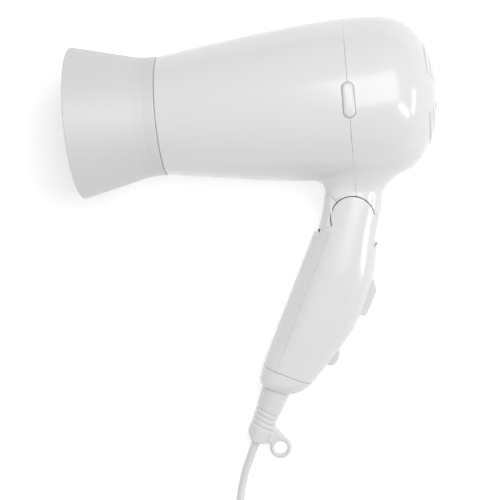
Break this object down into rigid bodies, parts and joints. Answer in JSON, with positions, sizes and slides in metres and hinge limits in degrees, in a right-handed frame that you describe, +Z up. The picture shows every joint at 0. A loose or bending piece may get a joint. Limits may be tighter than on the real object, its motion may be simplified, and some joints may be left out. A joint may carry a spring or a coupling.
{
  "type": "hair dryer",
  "caption": "Compact white hair dryer with a conical barrel, flared nozzle, domed rear intake, folding handle with slide switch and push button, and a flat lead with a two-pin plug.",
  "frame": {"origin": "centre of the box of the dryer without its loose cord, on the surface that it lies on", "axes": "barrel along X with the nozzle towards -X, handle towards -Y, +Z up, the dryer lying on its side"},
  "size_m": [0.177, 0.3077, 0.0756],
  "materials": {
    "white_gloss": "gloss white moulded ABS",
    "white_satin": "satin white heat-resistant moulding",
    "soft_pvc": "soft white PVC",
    "dark_plastic": "black heat-resistant plastic",
    "ivory_plastic": "ivory nylon",
    "mica": "mica sheet",
    "steel": "plated steel",
    "brass": "nickel-plated brass",
    "nichrome": "resistance wire",
    "board": "circuit board"
  },
  "bodies": {
    "barrel": {"front_casing": "white_gloss", "rear_casing": "white_gloss", "side_clips": "white_gloss", "outlet_grille": "dark_plastic", "mica_tube": "mica", "mica_frame": "mica", "heating_coil": "nichrome", "thermostat": "steel", "thermal_fuse": "steel", "fan_duct": "ivory_plastic", "motor_can": "steel", "motor_end_cap": "ivory_plastic", "rectifier_board": "board", "intake_screen": "dark_plastic", "casing_screws": "steel", "hinge_knuckle": "ivory_plastic", "friction_washers": "steel"},
    "fan": {"motor_shaft": "steel", "fan_impeller": "dark_plastic"},
    "nozzle": {"nozzle": "white_satin"},
    "handle": {"pivot_pin": "steel", "handle_rear_shell": "white_gloss", "handle_front_shell": "white_gloss", "end_cap": "white_gloss", "handle_screws": "steel", "switch_body": "dark_plastic", "cool_switch": "dark_plastic", "button_spring": "steel", "terminal_block": "ivory_plastic", "inner_leads": "soft_pvc", "cord_clamp": "ivory_plastic", "strain_relief": "soft_pvc", "cord_lead": "soft_pvc", "cord_coil": "soft_pvc", "cord_tie": "white_satin", "plug_body": "white_satin", "plug_pins": "brass"},
    "switch": {"switch_carriage": "dark_plastic", "switch_knob": "white_gloss"},
    "button": {"cool_button": "white_gloss"}
  },
  "joints": [
    {"name": "handle_fold", "type": "hinge", "parent": "barrel", "child": "handle", "pos_m": [0.0406, 0.01027, 0.02715], "axis": [0, 0.1994, -0.9799], "range_deg": [0, 62]},
    {"name": "fan_spin", "type": "hinge", "parent": "barrel", "child": "fan", "pos_m": [0.0535, 0.0626, 0.0378], "axis": [1, 0, 0], "continuous": true},
    {"name": "nozzle_turn", "type": "hinge", "parent": "barrel", "child": "nozzle", "pos_m": [-0.0465, 0.0626, 0.0378], "axis": [1, 0, 0], "continuous": true},
    {"name": "switch_slide", "type": "slide", "parent": "handle", "child": "switch", "axis": [-0.4321, -0.8837, -0.1798], "range_m": [0, 0.008]},
    {"name": "button_press", "type": "slide", "parent": "handle", "child": "button", "axis": [-0.9018, 0.4234, 0.0861], "range_m": [0, 0.0018], "stiffness_N_per_m": 300, "springref_m": -0.002}
  ]
}
